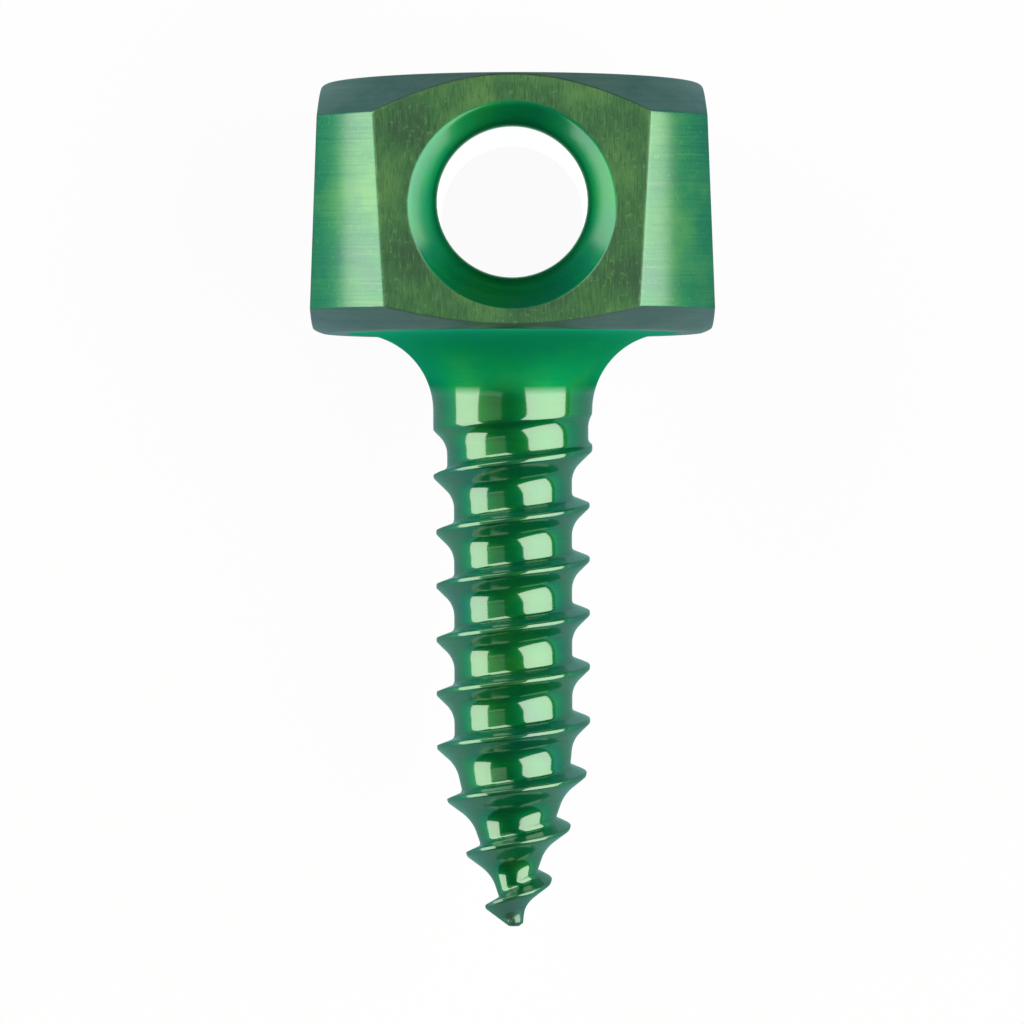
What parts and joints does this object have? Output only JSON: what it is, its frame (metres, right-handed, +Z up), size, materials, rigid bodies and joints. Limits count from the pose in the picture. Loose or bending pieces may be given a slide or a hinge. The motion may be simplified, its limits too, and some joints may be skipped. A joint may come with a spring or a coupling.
{
  "type": "bone anchor screw",
  "caption": "Bone screw lying on its side: square tapered head with a countersunk cross eye, filleted round neck, coarse right-hand thread and conical self-tapping point.",
  "frame": {"origin": "on the floor, at the middle of the lying screw's plan outline, under the bounding box centre", "axes": "+Y along the screw from the point toward the crown of the head, +Z up along the eye, +X across the head; the axis of the screw rises 2.25 degrees toward the point because the flat it lies on is drafted"},
  "size_m": [0.0092, 0.0198, 0.0093],
  "materials": {
    "anodised_titanium": "green anodised titanium alloy: bright on the turned thread, neck and chamfers, finely brushed on the milled flats"
  },
  "bodies": {
    "root": {"anchor_screw": "anodised_titanium"}
  },
  "joints": []
}
